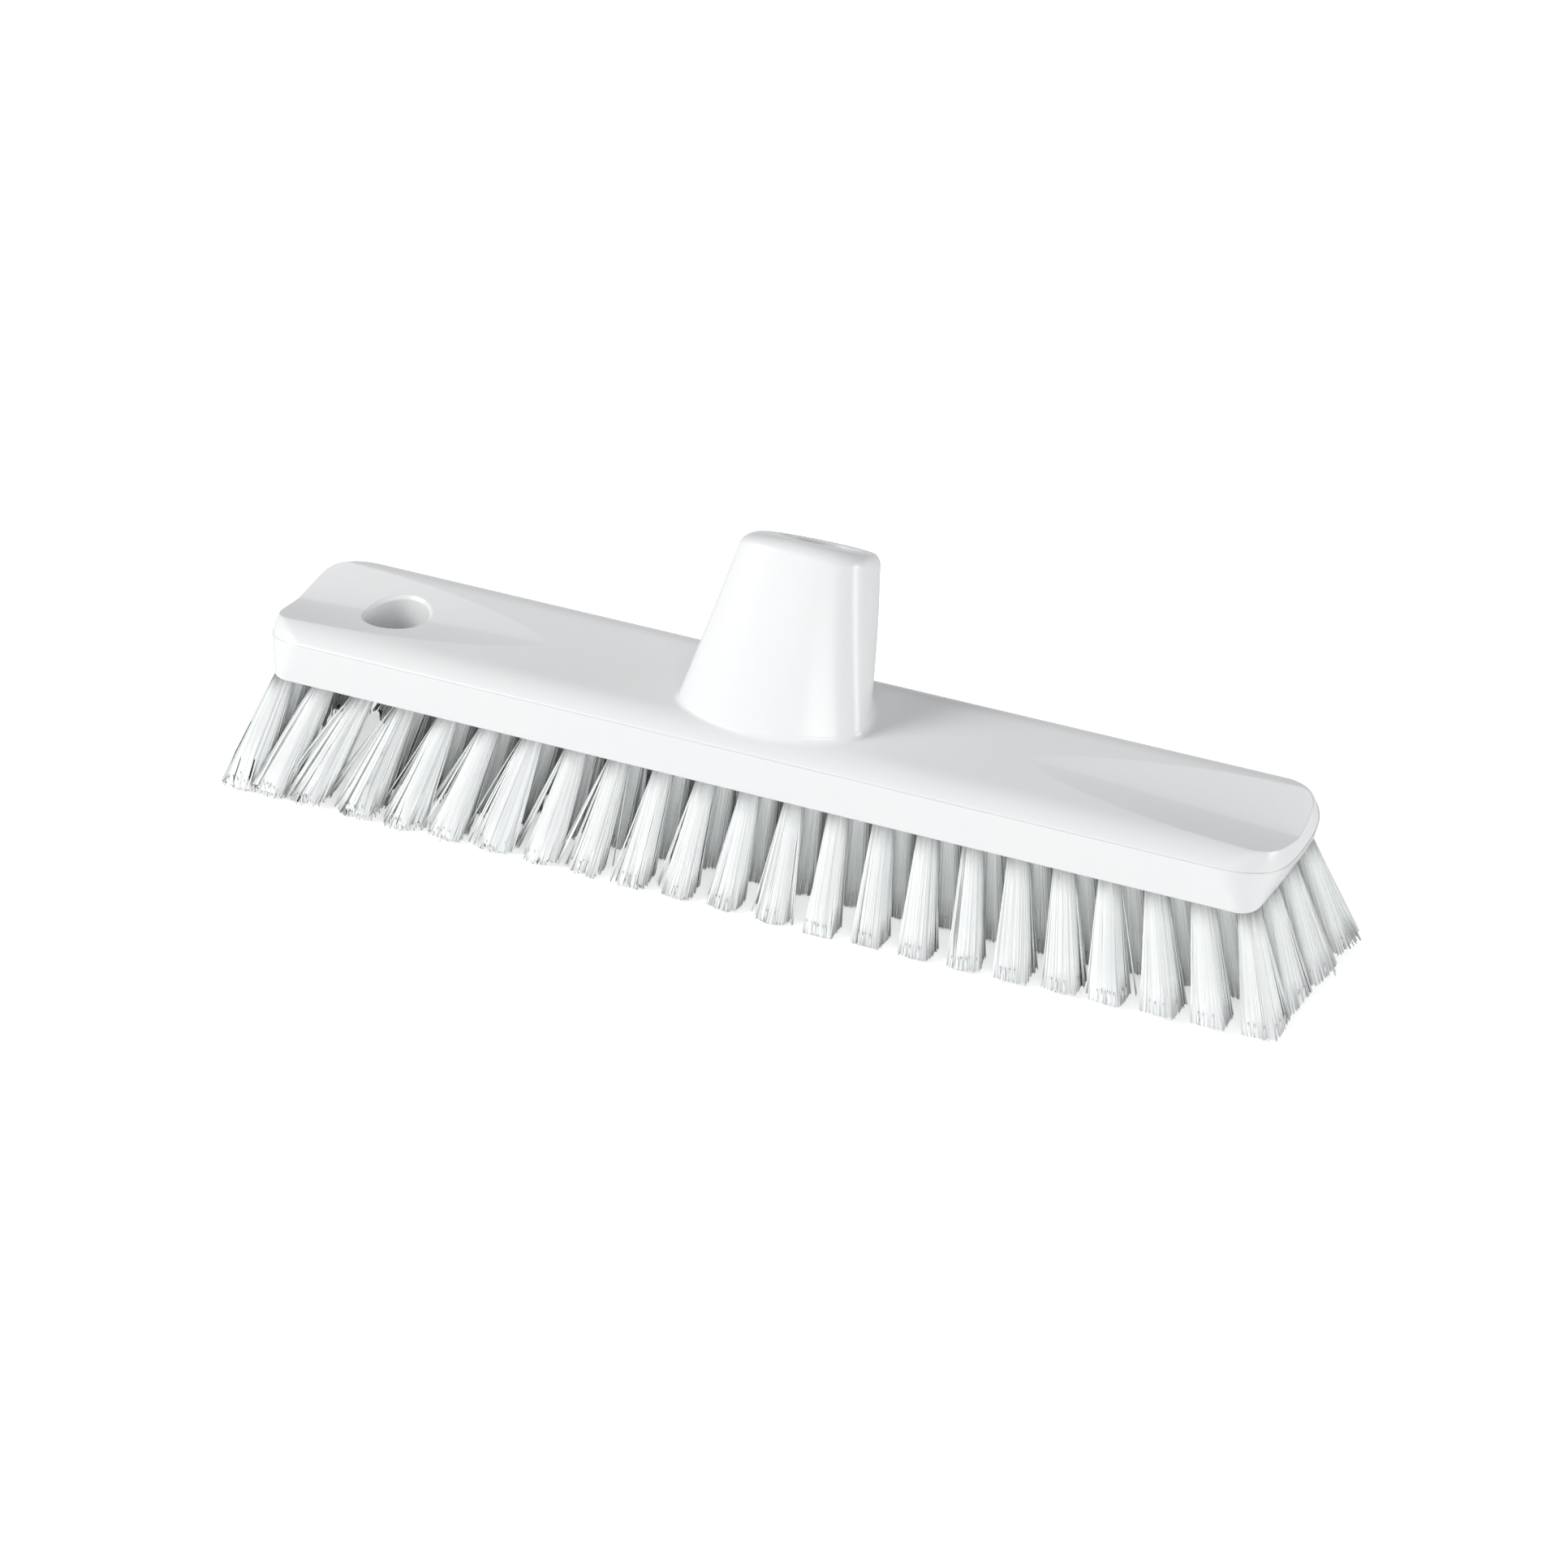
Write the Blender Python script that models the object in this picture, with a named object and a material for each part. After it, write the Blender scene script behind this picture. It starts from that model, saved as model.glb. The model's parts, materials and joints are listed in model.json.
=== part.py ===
"""Floor scrub brush head: one moulded block with a leaning handle socket, and tufts in four rows.

Sizes are in metres. X runs along the block, Y across it and Z up. The brush stands on its
bristle tips, and its origin lies on the floor under the middle of the block.
"""
import math

import bmesh
import bpy
from mathutils import Matrix, Vector
from mathutils.geometry import interpolate_bezier

# Block, measured at the mould line, its widest outline
BLOCK_LENGTH = 0.300
BLOCK_WIDTH = 0.0505
BLOCK_CORNER = 0.0150
END_BOW = 0.0016
END_DIP = 0.0048
MOULD_LINE_HEIGHT = 0.0131
MOULD_LINE_STEP = 0.0002

# Block underside and top
SIDE_DRAFT = 0.0012
END_DRAFT = 0.0036
UNDERSIDE_CORNER = 0.0055
UNDERSIDE_BOW = 0.0006
BOTTOM_EDGE_RADIUS = 0.0008
CROWN_WIDTH = 0.0105
END_CROWN_WIDTH = 0.0035
CROWN_HEIGHT = 0.0033
CROWN_POWER = 2.5
TOP_CORNER = 0.0018

# Finger scoops in the two ends of the top
SCOOP_LENGTH = 0.078
SCOOP_DEPTH = 0.0042
SCOOP_DEPTH_POWER = 1.1
SCOOP_RADIUS = 0.0140
SCOOP_FLOOR_WIDTH = 0.0172
SCOOP_FLOOR_POWER = 2.5
SCOOP_TIP_WIDTH = 0.0012

# Hanging hole
HANG_HOLE_RADIUS = 0.0090
HANG_HOLE_COLUMN = 2
HANG_HOLE_OFFSET = 0.00186
HANG_HOLE_DRAFT = 0.0006
HANG_HOLE_EDGE = 0.0008

# Handle socket
SOCKET_LEAN = math.radians(28.0)
SOCKET_FOOT_LENGTH = 0.0530
SOCKET_FOOT_FRONT = 0.0193
SOCKET_FOOT_BACK = 0.0208
SOCKET_FOOT_WIDEST = -0.0080
SOCKET_FILLET = 0.0020
SOCKET_HEIGHT = 0.0370
SOCKET_REACH = 0.0230
SOCKET_SHOULDER_LENGTH = 0.0364
SOCKET_SHOULDER_FRONT = 0.0202
SOCKET_SHOULDER_BACK = 0.0142
SOCKET_SHOULDER_WIDEST = -0.0080
SOCKET_SHOULDER_HEIGHT = 0.0044
SOCKET_SHOULDER_SQUARENESS = 2.8
SOCKET_MOUTH_RADIUS = 0.0146

# Handle bore
BORE_RADIUS = 0.0110
BORE_DEPTH = 0.0370
BORE_DRAFT = 0.0010
BORE_CHAMFER = 0.0006

# Tufts
TRIM_LENGTH = 0.0355
TUFT_COLUMNS = 23
TUFT_ROWS = 4
TUFT_RADIUS = 0.00265
TUFT_EDGE_WALL = 0.0018
ROW_EDGE_WALL = 0.0030
TUFT_HOLE_DEPTH = 0.0070
TUFT_WALL = 0.0012
STRANDS_PER_TUFT = 5
STRAND_RADIUS = 0.0011
STRAND_RING_RADIUS = 0.00145
TIP_STRAND_RADIUS = 0.0016
TIP_RING_RADIUS = 0.0036
END_SPLAY = math.radians(21.0)
SIDE_SPLAY = math.radians(11.0)
SEAT_CLEARANCE = 0.0003

# Levels and half sizes that follow
UNDERSIDE = TRIM_LENGTH
MOULD_LINE = UNDERSIDE + MOULD_LINE_HEIGHT
TOP = MOULD_LINE + CROWN_HEIGHT
HALF_LENGTH = BLOCK_LENGTH / 2
HALF_WIDTH = BLOCK_WIDTH / 2
UNDERSIDE_HALF_LENGTH = HALF_LENGTH - END_DRAFT
UNDERSIDE_HALF_WIDTH = HALF_WIDTH - SIDE_DRAFT
LAST_COLUMN = UNDERSIDE_HALF_LENGTH - TUFT_EDGE_WALL - TUFT_RADIUS
LAST_ROW = UNDERSIDE_HALF_WIDTH - ROW_EDGE_WALL - TUFT_RADIUS
TUFT_PITCH = 2 * LAST_COLUMN / (TUFT_COLUMNS - 1)
HANG_HOLE_X = HANG_HOLE_COLUMN * TUFT_PITCH - LAST_COLUMN - HANG_HOLE_OFFSET
OVERCUT = 0.004

# Shares of a full circle or of a run
CORNER_STEPS = 6
END_STEPS = 6
SIDE_STEPS = 4
CROWN_STEPS = (0.08, 0.22, 0.42, 0.68, 1.0)
SOCKET_POINTS = 48
SOCKET_LEVELS = 5
FILLET_STEPS = 4
SHOULDER_STEPS = 6
ROUND_POINTS = 32
TUFT_ARC_STEPS = 6
BEZIER_ARC = 0.5523
ELLIPSE = 2.0


def clear_scene():
    """Remove every object, so that a second run starts from nothing."""
    for item in list(bpy.data.objects):
        bpy.data.objects.remove(item, do_unlink=True)


def make_material(name, colour, roughness):
    """A plain moulded finish."""
    material = bpy.data.materials.new(name)
    material.use_nodes = True
    shader = material.node_tree.nodes["Principled BSDF"]
    shader.inputs["Base Color"].default_value = (*colour, 1.0)
    shader.inputs["Roughness"].default_value = roughness
    shader.inputs["Metallic"].default_value = 0.0
    material.diffuse_color = (*colour, 1.0)
    return material


def add_object(name, mesh, material=None):
    """Put a mesh in the scene as a named object."""
    item = bpy.data.objects.new(name, mesh)
    bpy.context.scene.collection.objects.link(item)
    if material is not None:
        mesh.materials.append(material)
    return item


def smooth(mesh, angle=math.radians(30.0)):
    """Shade a mesh smooth, with its sharper edges kept."""
    mesh.shade_smooth()
    mesh.set_sharp_from_angle(angle=angle)


def close_rings(bm, rings):
    """Skin a stack of rings that have equal point counts, and cap both ends."""
    loops = [[bm.verts.new(point) for point in ring] for ring in rings]
    for lower, upper in zip(loops, loops[1:]):
        count = len(lower)
        for i in range(count):
            j = (i + 1) % count
            bm.faces.new((lower[i], lower[j], upper[j], upper[i]))
    bm.faces.new(list(reversed(loops[0])))
    bm.faces.new(loops[-1])


def lofted_mesh(name, stacks):
    """A mesh of one or more closed bodies, each skinned over its own stack of rings."""
    bm = bmesh.new()
    for rings in stacks:
        close_rings(bm, rings)
    bmesh.ops.recalc_face_normals(bm, faces=bm.faces)
    mesh = bpy.data.meshes.new(name)
    bm.to_mesh(mesh)
    bm.free()
    return mesh


def add_tool(name, stacks):
    """A hidden body that joins or cuts the block."""
    tool = add_object(name, lofted_mesh(name, stacks))
    tool.hide_render = True
    tool.display_type = "WIRE"
    return tool


def add_boolean(target, tool, operation):
    """Join a hidden body to a target, or cut it out."""
    modifier = target.modifiers.new(tool.name, "BOOLEAN")
    modifier.operation = operation
    modifier.solver = "EXACT"
    modifier.object = tool


# Block


def plan_outline(half_length, half_width, corner, bow):
    """Outline of a bar with round corners and bowed ends, counter-clockwise from the right end."""
    def end_x(y):
        return half_length - bow * (y / half_width) ** 2

    turn = half_width - corner
    quarter = [(end_x(turn * i / END_STEPS), turn * i / END_STEPS) for i in range(END_STEPS)]
    start = Vector((end_x(turn), turn))
    stop = Vector((start.x - corner, half_width))
    along_end = Vector((-2 * bow * turn / half_width ** 2, 1.0)).normalized()
    reach = BEZIER_ARC * corner
    knots = (start, start + along_end * reach, stop + Vector((reach, 0.0)), stop)
    quarter += [(point.x, point.y) for point in interpolate_bezier(*knots, CORNER_STEPS + 1)]
    quarter += [(stop.x * (1 - i / SIDE_STEPS), half_width) for i in range(1, SIDE_STEPS + 1)]
    back_left = [(-x, y) for x, y in reversed(quarter)]
    front_left = [(-x, -y) for x, y in quarter]
    front_right = [(x, -y) for x, y in reversed(quarter)]
    return quarter[:-1] + back_left[:-1] + front_left[:-1] + front_right[:-1]


def underside_ring(inset, height):
    """Outline of the block near its underside."""
    outline = plan_outline(UNDERSIDE_HALF_LENGTH - inset, UNDERSIDE_HALF_WIDTH - inset,
                           UNDERSIDE_CORNER - inset, UNDERSIDE_BOW)
    return [(x, y, UNDERSIDE + height) for x, y in outline]


def upper_ring(side_inset, end_inset, share):
    """Outline inset from the mould line, raised by a share of the way up to the flat top."""
    half_width = HALF_WIDTH - side_inset
    corner = BLOCK_CORNER + (TOP_CORNER - BLOCK_CORNER) * side_inset / CROWN_WIDTH
    ring = []
    for x, y in plan_outline(HALF_LENGTH - end_inset, half_width, corner, END_BOW):
        line = MOULD_LINE - END_DIP * (1 - (y / half_width) ** 2)
        ring.append((x, y, line + (TOP - line) * share))
    return ring


def crown_share(inset_share):
    """Rise of the crowned shoulder at a share of its width: steep at the mould line, then flat."""
    return 1 - (1 - inset_share) ** CROWN_POWER


def block_rings():
    """The block from its underside up to its flat top, before anything is cut or joined."""
    edge = BOTTOM_EDGE_RADIUS
    rings = [underside_ring(edge, 0.0), underside_ring(0.3 * edge, 0.3 * edge), underside_ring(0.0, edge)]
    rings.append(upper_ring(0.0, 0.0, 0.0))
    rings.append(upper_ring(MOULD_LINE_STEP, MOULD_LINE_STEP, 0.0))
    for step in CROWN_STEPS:
        insets = [max(step * width, 2 * MOULD_LINE_STEP) for width in (CROWN_WIDTH, END_CROWN_WIDTH)]
        rings.append(upper_ring(*insets, crown_share(step)))
    return rings


def crown_height(y):
    """Height of the block's top at a distance from its centre line, away from the ends."""
    outside = max(0.0, abs(y) - (HALF_WIDTH - CROWN_WIDTH))
    return MOULD_LINE + CROWN_HEIGHT * (1 - (outside / CROWN_WIDTH) ** CROWN_POWER)


# Handle socket


def power(value, exponent):
    """A value raised to a power, with its sign kept."""
    return math.copysign(abs(value) ** exponent, value)


def socket_section(half_x, front, back, squareness):
    """Rounded section, counter-clockwise: its depth differs from front to back, and its sides flatten
    as its squareness rises above that of an ellipse."""
    outline = []
    for i in range(SOCKET_POINTS):
        angle = 2 * math.pi * i / SOCKET_POINTS
        depth = back if math.sin(angle) > 0 else front
        outline.append((half_x * power(math.cos(angle), 2 / squareness),
                        depth * power(math.sin(angle), 2 / squareness)))
    return outline


def blend(low, high, share):
    """Sizes at a share of the way from one set to another."""
    return [a + (b - a) * share for a, b in zip(low, high)]


def foot_sizes():
    """Half length, front depth, back depth and squareness of the socket's foot."""
    return (SOCKET_FOOT_LENGTH / 2, SOCKET_FOOT_FRONT + SOCKET_FOOT_WIDEST,
            SOCKET_FOOT_BACK - SOCKET_FOOT_WIDEST, ELLIPSE)


def shoulder_sizes():
    """The same four sizes where the socket's wall turns into its shoulder."""
    return (SOCKET_SHOULDER_LENGTH / 2, SOCKET_SHOULDER_FRONT + SOCKET_SHOULDER_WIDEST,
            SOCKET_SHOULDER_BACK - SOCKET_SHOULDER_WIDEST, SOCKET_SHOULDER_SQUARENESS)


def mouth_centre():
    """Centre of the socket's mouth."""
    return Vector((0.0, SOCKET_REACH, TOP + SOCKET_HEIGHT))


def mouth_normal():
    """Direction that the socket's mouth faces."""
    return Vector((0.0, math.sin(SOCKET_LEAN), math.cos(SOCKET_LEAN)))


def mouth_slope():
    """Direction across the mouth, down its slope and towards the back."""
    return Vector((0.0, math.cos(SOCKET_LEAN), -math.sin(SOCKET_LEAN)))


def foot_ring(grow, rise):
    """Section where the socket meets the block, grown outwards and raised above the crown."""
    half_x, front, back, squareness = foot_sizes()
    ring = []
    for x, y in socket_section(half_x + grow, front + grow, back + grow, squareness):
        place = y + SOCKET_FOOT_WIDEST
        ring.append((x, place, crown_height(place) + rise))
    return ring


def shoulder_centre():
    """Centre of the section where the socket's wall turns into its rounded shoulder."""
    return (mouth_centre() - mouth_normal() * SOCKET_SHOULDER_HEIGHT
            + mouth_slope() * SOCKET_SHOULDER_WIDEST)


def wall_ring(share):
    """Section at a share of the way from the foot to the shoulder, tilting as it climbs."""
    tilt = SOCKET_LEAN * share
    foot = Vector((0.0, SOCKET_FOOT_WIDEST, TOP + SOCKET_FILLET))
    centre = foot.lerp(shoulder_centre(), share)
    across = Vector((0.0, math.cos(tilt), -math.sin(tilt)))
    outline = socket_section(*blend(foot_sizes(), shoulder_sizes(), share))
    return [centre + Vector((x, 0.0, 0.0)) + across * y for x, y in outline]


def shoulder_ring(angle):
    """Section round the shoulder, from its foot at no angle to the flat mouth at a right angle."""
    share = 1 - math.cos(angle)
    centre = mouth_centre() - mouth_normal() * SOCKET_SHOULDER_HEIGHT * (1 - math.sin(angle))
    centre += mouth_slope() * SOCKET_SHOULDER_WIDEST * (1 - share)
    mouth_sizes = (SOCKET_MOUTH_RADIUS, SOCKET_MOUTH_RADIUS, SOCKET_MOUTH_RADIUS, ELLIPSE)
    outline = socket_section(*blend(shoulder_sizes(), mouth_sizes, share))
    return [centre + Vector((x, 0.0, 0.0)) + mouth_slope() * y for x, y in outline]


def foot_rings():
    """The socket's foot, from inside the block and over its fillet up to a flat."""
    rings = [foot_ring(SOCKET_FILLET, -2 * SOCKET_FILLET)]
    for i in range(FILLET_STEPS):
        angle = math.radians(90.0) * i / FILLET_STEPS
        rings.append(foot_ring(SOCKET_FILLET * (1 - math.sin(angle)), SOCKET_FILLET * (1 - math.cos(angle))))
    rings.append(wall_ring(0.0))
    return rings


def socket_rings():
    """The socket above the flat of its foot: its wall and shoulder, up to its flat mouth."""
    lift = Vector((0.0, 0.0, SEAT_CLEARANCE))
    rings = [[point + lift for point in wall_ring(0.0)]]
    for i in range(1, SOCKET_LEVELS):
        rings.append(wall_ring(i / SOCKET_LEVELS))
    for i in range(SHOULDER_STEPS + 1):
        rings.append(shoulder_ring(math.radians(90.0) * i / SHOULDER_STEPS))
    return rings


def round_ring(centre, axis, radius):
    """Circle about an axis."""
    side = Vector((1.0, 0.0, 0.0))
    across = axis.cross(side)
    ring = []
    for i in range(ROUND_POINTS):
        angle = 2 * math.pi * i / ROUND_POINTS
        ring.append(centre + (side * math.cos(angle) + across * math.sin(angle)) * radius)
    return ring


def bore_rings():
    """The handle bore, narrower at its blind end and chamfered at its mouth."""
    axis = mouth_normal()
    mouth = mouth_centre()
    return [round_ring(mouth - axis * BORE_DEPTH, axis, BORE_RADIUS - BORE_DRAFT),
            round_ring(mouth - axis * BORE_CHAMFER, axis, BORE_RADIUS),
            round_ring(mouth, axis, BORE_RADIUS + BORE_CHAMFER),
            round_ring(mouth + axis * OVERCUT, axis, BORE_RADIUS + BORE_CHAMFER)]


# Scoops and hanging hole


def scoop_depth(distance):
    """Depth of a scoop below the flat top at a distance from its tip."""
    return SCOOP_DEPTH * power(distance / SCOOP_LENGTH, SCOOP_DEPTH_POWER)


def scoop_half_floor(distance):
    """Half the width of a scoop's flat floor at a distance from its tip."""
    left = min(1.0, max(0.0, 1 - distance / SCOOP_LENGTH))
    share = 1 - left ** SCOOP_FLOOR_POWER
    return (SCOOP_TIP_WIDTH + (SCOOP_FLOOR_WIDTH - SCOOP_TIP_WIDTH) * share) / 2


def scoop_rings(side):
    """One scoop: a flat-bottomed channel with hollow walls that widens and deepens from its tip out
    through the block's end."""
    steps = (-0.06, 0.0, 0.03, 0.07, 0.12, 0.19, 0.28, 0.39, 0.52, 0.68, 0.86, 1.1)
    wall = [math.radians(50.0) * i / 6 for i in range(7)]
    rings = []
    for step in steps:
        distance = step * SCOOP_LENGTH
        x = side * (HALF_LENGTH - SCOOP_LENGTH + distance)
        half_floor = scoop_half_floor(distance)
        floor = TOP - scoop_depth(distance)
        right = [(x, half_floor + SCOOP_RADIUS * math.sin(turn), floor + SCOOP_RADIUS * (1 - math.cos(turn)))
                 for turn in wall]
        right.append((x, right[-1][1], TOP + 2 * OVERCUT))
        rings.append([(x, -y, z) for x, y, z in reversed(right)] + right)
    return rings


def hang_hole_floor():
    """Height of the scoop's floor at the hanging hole."""
    return TOP - scoop_depth(SCOOP_LENGTH - HALF_LENGTH - HANG_HOLE_X)


def hang_hole_tilt():
    """How much the scoop's floor climbs towards the block's middle across the hanging hole."""
    near, far = (SCOOP_LENGTH - HALF_LENGTH - HANG_HOLE_X + side * HANG_HOLE_RADIUS for side in (-1, 1))
    return (scoop_depth(far) - scoop_depth(near)) / (far - near)


def hang_hole_rings():
    """The hanging hole, with its upper and lower edges eased."""
    edge = HANG_HOLE_EDGE
    low = HANG_HOLE_RADIUS - HANG_HOLE_DRAFT
    floor = hang_hole_floor()
    tilt = hang_hole_tilt()
    levels = ((UNDERSIDE - OVERCUT, low + edge, 0.0), (UNDERSIDE, low + edge, 0.0),
              (UNDERSIDE + edge, low, 0.0), (floor - edge, HANG_HOLE_RADIUS, tilt),
              (floor, HANG_HOLE_RADIUS + edge, tilt),
              (TOP + OVERCUT, HANG_HOLE_RADIUS + edge, tilt))
    rings = []
    for z, radius, climb in levels:
        ring = round_ring(Vector((HANG_HOLE_X, 0.0, z)), Vector((0.0, 0.0, 1.0)), radius)
        rings.append([point + Vector((0.0, 0.0, climb * (point.x - HANG_HOLE_X))) for point in ring])
    return rings


# Tufts


def column_x(column):
    """Place of a column of tufts along the block."""
    return LAST_COLUMN * (2 * column / (TUFT_COLUMNS - 1) - 1)


def row_y(row):
    """Place of a row of tufts across the block, the front row first."""
    return LAST_ROW * (2 * row / (TUFT_ROWS - 1) - 1)


def is_clear_of_hang_hole(x, y):
    """Whether a tuft keeps its place: it gives way where its hole would leave too thin a wall round the
    hanging hole, or where it is an inner tuft of the two columns that the hole's centre lies between."""
    clearance = HANG_HOLE_RADIUS + TUFT_WALL + SEAT_CLEARANCE + TUFT_RADIUS
    along = abs(x - HANG_HOLE_X)
    if along < TUFT_PITCH and abs(y) < clearance:
        return False
    return math.hypot(along, y) > clearance


def tuft_pairs():
    """The front and the rear pair of tufts in every column, as a name and their places."""
    pairs = []
    half = TUFT_ROWS // 2
    for column in range(TUFT_COLUMNS):
        for name, rows in (("front", range(half)), ("rear", range(half, TUFT_ROWS))):
            x = column_x(column)
            places = [(x, row_y(row)) for row in rows if is_clear_of_hang_hole(x, row_y(row))]
            if places:
                pairs.append(("tufts_%s_%02d" % (name, column + 1), places))
    return pairs


def root_outline(places, grow):
    """Outline round the roots of a pair of tufts: a slot with round ends, counter-clockwise."""
    x = places[0][0]
    radius = TUFT_RADIUS + grow
    outline = []
    for y, start in ((places[-1][1], 0.0), (places[0][1], math.pi)):
        for i in range(TUFT_ARC_STEPS + 1):
            angle = start + math.pi * i / TUFT_ARC_STEPS
            outline.append((x + radius * math.cos(angle), y + radius * math.sin(angle)))
    return outline


def merge_close(points):
    """Drop a point that repeats the one before it round a closed outline."""
    kept = []
    for i, point in enumerate(points):
        if math.dist(point, points[i - 1]) > SEAT_CLEARANCE / 10:
            kept.append(point)
    return kept


def pocket_rings(places):
    """The hole in the block that takes the roots of a pair of tufts."""
    outline = merge_close(root_outline(places, SEAT_CLEARANCE))
    levels = (UNDERSIDE - OVERCUT, UNDERSIDE + TUFT_HOLE_DEPTH + SEAT_CLEARANCE)
    return [[(x, y, z) for x, y in outline] for z in levels]


def tuft_lean(x, y):
    """Sideways travel of a tuft's tips: none in the middle, and outwards at the ends and sides."""
    along = x / LAST_COLUMN
    across = y / LAST_ROW
    return TRIM_LENGTH * along * math.tan(END_SPLAY), TRIM_LENGTH * across * math.tan(SIDE_SPLAY)


def strand_corners(x, y, angle, ring_radius, radius, z):
    """Three corners of a strand's section, one of them towards the middle of its tuft."""
    corners = []
    for i in range(3):
        turn = angle + math.pi + 2 * math.pi * i / 3
        corners.append((x + ring_radius * math.cos(angle) + radius * math.cos(turn),
                        y + ring_radius * math.sin(angle) + radius * math.sin(turn), z))
    return corners


def add_strands(bm, x, y):
    """Grow one tuft's strands from the underside to the floor, and return the edges of their roots."""
    lean_x, lean_y = tuft_lean(x, y)
    edges = []
    for i in range(STRANDS_PER_TUFT):
        angle = 2 * math.pi * (i + 0.25) / STRANDS_PER_TUFT
        if x < 0:
            angle = math.pi - angle
        root = [bm.verts.new(p) for p in
                strand_corners(x, y, angle, STRAND_RING_RADIUS, STRAND_RADIUS, UNDERSIDE)]
        tip = [bm.verts.new(p) for p in
               strand_corners(x + lean_x, y + lean_y, angle, TIP_RING_RADIUS, TIP_STRAND_RADIUS, 0.0)]
        for j in range(3):
            k = (j + 1) % 3
            bm.faces.new((tip[j], tip[k], root[k], root[j]))
        bm.faces.new(tip)
        edges += [bm.edges.get((root[j], root[(j + 1) % 3])) for j in range(3)]
    return edges


def tuft_pair_mesh(name, places):
    """Two tufts that share one slice of backing: its roots sit in the block, its strands reach the floor."""
    bm = bmesh.new()
    outline = merge_close(root_outline(places, 0.0))
    low = [bm.verts.new((x, y, UNDERSIDE)) for x, y in outline]
    high = [bm.verts.new((x, y, UNDERSIDE + TUFT_HOLE_DEPTH)) for x, y in outline]
    count = len(outline)
    for i in range(count):
        j = (i + 1) % count
        bm.faces.new((low[i], low[j], high[j], high[i]))
    bm.faces.new(high)
    edges = [bm.edges.get((low[i], low[(i + 1) % count])) for i in range(count)]
    for x, y in places:
        edges += add_strands(bm, x, y)
    bmesh.ops.triangle_fill(bm, use_beauty=True, use_dissolve=False, edges=edges)
    bmesh.ops.recalc_face_normals(bm, faces=bm.faces)
    mesh = bpy.data.meshes.new(name)
    bm.to_mesh(mesh)
    bm.free()
    return mesh


# Assembly


def build_block(material):
    """The moulding: the block with the socket's foot, and the socket that stands on it."""
    block = add_object("brush_block", lofted_mesh("brush_block", [block_rings()]), material)
    socket = add_object("handle_socket", lofted_mesh("handle_socket", [socket_rings()]), material)
    bore = add_tool("bore_cutter", [bore_rings()])
    add_boolean(block, add_tool("socket_foot_joined", [foot_rings()]), "UNION")
    add_boolean(block, add_tool("scoop_cutter", [scoop_rings(-1), scoop_rings(1)]), "DIFFERENCE")
    add_boolean(block, bore, "DIFFERENCE")
    add_boolean(socket, bore, "DIFFERENCE")
    add_boolean(block, add_tool("hang_hole_cutter", [hang_hole_rings()]), "DIFFERENCE")
    pockets = [pocket_rings(places) for _, places in tuft_pairs()]
    add_boolean(block, add_tool("tuft_hole_cutter", pockets), "DIFFERENCE")
    smooth(block.data)
    smooth(socket.data)


def build_tufts(material):
    """Every pair of tufts, each in its own hole."""
    for name, places in tuft_pairs():
        add_object(name, tuft_pair_mesh(name, places), material)


def centre_over_origin():
    """Shift every mesh sideways, so that the middle of the whole brush is over the origin."""
    cutters = [item for item in bpy.data.objects if item.name.endswith("_cutter")]
    points = [v.co for item in bpy.data.objects if item not in cutters for v in item.data.vertices]
    middle_x = (min(p.x for p in points) + max(p.x for p in points)) / 2
    middle_y = (min(p.y for p in points) + max(p.y for p in points)) / 2
    shift = Matrix.Translation((-middle_x, -middle_y, 0.0))
    for item in bpy.data.objects:
        item.data.transform(shift)


def main():
    clear_scene()
    build_block(make_material("white_moulded_plastic", (0.86, 0.87, 0.87), 0.28))
    build_tufts(make_material("clear_white_filament", (0.84, 0.87, 0.87), 0.35))
    centre_over_origin()


main()
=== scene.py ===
"""Looks of the floor scrub brush head: a white moulded block with fine clear filament tufts."""
import json
import math

import bmesh
import bpy
import numpy as np
from mathutils import Matrix, Vector
from mathutils.geometry import interpolate_bezier

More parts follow.
